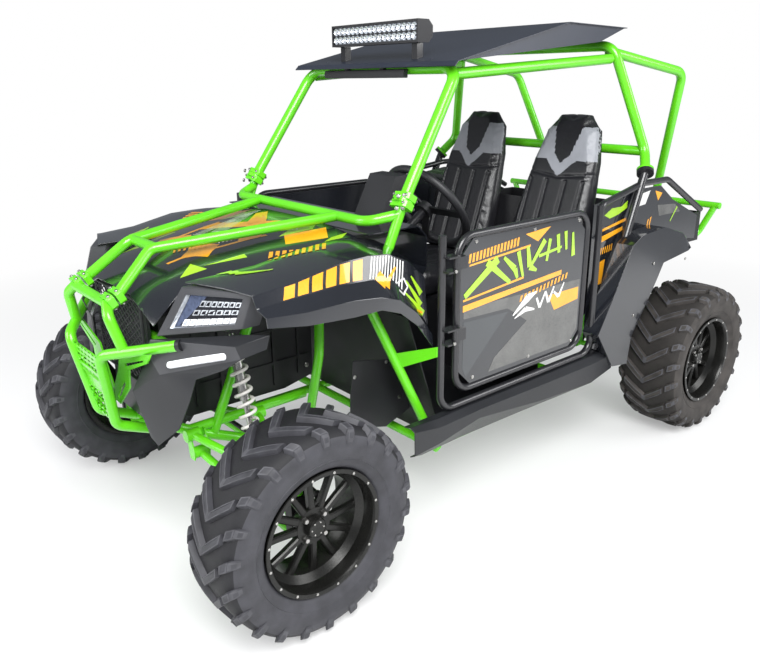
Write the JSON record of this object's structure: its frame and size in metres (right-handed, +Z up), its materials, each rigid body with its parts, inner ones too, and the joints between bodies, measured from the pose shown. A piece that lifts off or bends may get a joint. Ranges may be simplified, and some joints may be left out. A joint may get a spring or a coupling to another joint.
{
  "type": "side by side utv",
  "caption": "Two seat off road side by side with a tubular roll cage, sheet roof, open doors sides, bucket seats, cargo bed and lugged tyres.",
  "frame": {"origin": "on the ground under the centre of the bounding box", "axes": "+X forward, +Y to the vehicle's left, +Z up"},
  "size_m": [2.7696, 1.668, 1.728],
  "materials": {
    "lime_paint": "gloss",
    "black_paint": "gloss",
    "gloss_black": "gloss",
    "grey_plastic": "satin",
    "black_plastic": "matte",
    "tyre_rubber": "matte",
    "rim_paint": "gloss",
    "steel": "satin",
    "cast_metal": "matte",
    "white_spring": "gloss",
    "seat_leather": "satin",
    "mirror_glass": "gloss"
  },
  "bodies": {
    "chassis": {"cabin_mirror": "mirror_glass", "cabin_tub": "black_plastic", "cargo_bed": "black_plastic", "dampers": "steel", "dashboard": "gloss_black", "drive_case": "cast_metal", "engine": "cast_metal", "floor_frame": "lime_paint", "front_fascia": "grey_plastic", "front_fenders": "gloss_black", "front_frame": "lime_paint", "front_grille": "black_plastic", "front_guard": "lime_paint", "front_lower_arms": "lime_paint", "front_upper_arms": "lime_paint", "half_shafts": "steel", "headlights": "grey_plastic", "hood": "gloss_black", "hood_hoop": "lime_paint", "light_bar": "black_plastic", "light_bar_brackets": "black_paint", "rear_arms": "lime_paint", "rear_braces": "lime_paint", "rear_carriers": "cast_metal", "rear_fenders": "grey_plastic", "rear_frame": "lime_paint", "rear_hoop": "lime_paint", "rear_side_panels": "gloss_black", "rocker_panels": "grey_plastic", "roof": "black_paint", "roof_rails": "lime_paint", "seat_backs": "seat_leather", "seat_cushions": "seat_leather", "side_frames": "black_paint", "springs": "white_spring", "steering_column": "black_paint", "tail_bar": "lime_paint", "windshield_hoop": "lime_paint"},
    "knuckle_left": {"knuckle_left": "cast_metal"},
    "wheel_front_left": {"tyre_front_left": "tyre_rubber", "rim_front_left": "rim_paint"},
    "wheel_rear_left": {"tyre_rear_left": "tyre_rubber", "rim_rear_left": "rim_paint"},
    "door_left": {"door_frame_left": "black_paint", "door_panel_left": "gloss_black"},
    "knuckle_right": {"knuckle_right": "cast_metal"},
    "wheel_front_right": {"tyre_front_right": "tyre_rubber", "rim_front_right": "rim_paint"},
    "wheel_rear_right": {"tyre_rear_right": "tyre_rubber", "rim_rear_right": "rim_paint"},
    "door_right": {"door_frame_right": "black_paint", "door_panel_right": "gloss_black"},
    "steering_wheel": {"steering_wheel": "black_plastic"},
    "steering_rack": {"steering_rack": "steel"}
  },
  "joints": [
    {"name": "steer_left", "type": "hinge", "parent": "chassis", "child": "knuckle_left", "pos_m": [1.033, 0.6285, 0.33], "axis": [0, 0, 1], "range_deg": [-28, 28]},
    {"name": "front_wheel_spin_left", "type": "hinge", "parent": "knuckle_left", "child": "wheel_front_left", "pos_m": [1.033, 0.668, 0.33], "axis": [0, 1, 0], "continuous": true},
    {"name": "rear_wheel_spin_left", "type": "hinge", "parent": "chassis", "child": "wheel_rear_left", "pos_m": [-1.033, 0.699, 0.33], "axis": [0, 1, 0], "continuous": true},
    {"name": "door_swing_left", "type": "hinge", "parent": "chassis", "child": "door_left", "pos_m": [0.418, 0.652, 0.86], "axis": [0, 0, -1], "range_deg": [0, 70]},
    {"name": "steer_right", "type": "hinge", "parent": "chassis", "child": "knuckle_right", "pos_m": [1.033, -0.6285, 0.33], "axis": [0, 0, 1], "range_deg": [-28, 28]},
    {"name": "front_wheel_spin_right", "type": "hinge", "parent": "knuckle_right", "child": "wheel_front_right", "pos_m": [1.033, -0.668, 0.33], "axis": [0, 1, 0], "continuous": true},
    {"name": "rear_wheel_spin_right", "type": "hinge", "parent": "chassis", "child": "wheel_rear_right", "pos_m": [-1.033, -0.699, 0.33], "axis": [0, 1, 0], "continuous": true},
    {"name": "door_swing_right", "type": "hinge", "parent": "chassis", "child": "door_right", "pos_m": [0.418, -0.652, 0.86], "axis": [0, 0, 1], "range_deg": [0, 70]},
    {"name": "steering_wheel_turn", "type": "hinge", "parent": "chassis", "child": "steering_wheel", "pos_m": [0.175, 0.262, 1.085], "axis": [-0.8192, 0, 0.5736], "range_deg": [-252, 252]},
    {"name": "rack_slide", "type": "slide", "parent": "chassis", "child": "steering_rack", "axis": [0, -1, 0], "range_m": [-0.0362, 0.0362]}
  ],
  "couplings": [
    {"joint": "steer_right", "follows": "steer_left", "ratio": 1},
    {"joint": "steering_wheel_turn", "follows": "steer_left", "ratio": 9},
    {"joint": "rack_slide", "follows": "steer_left", "m_per_rad": 0.0735}
  ]
}
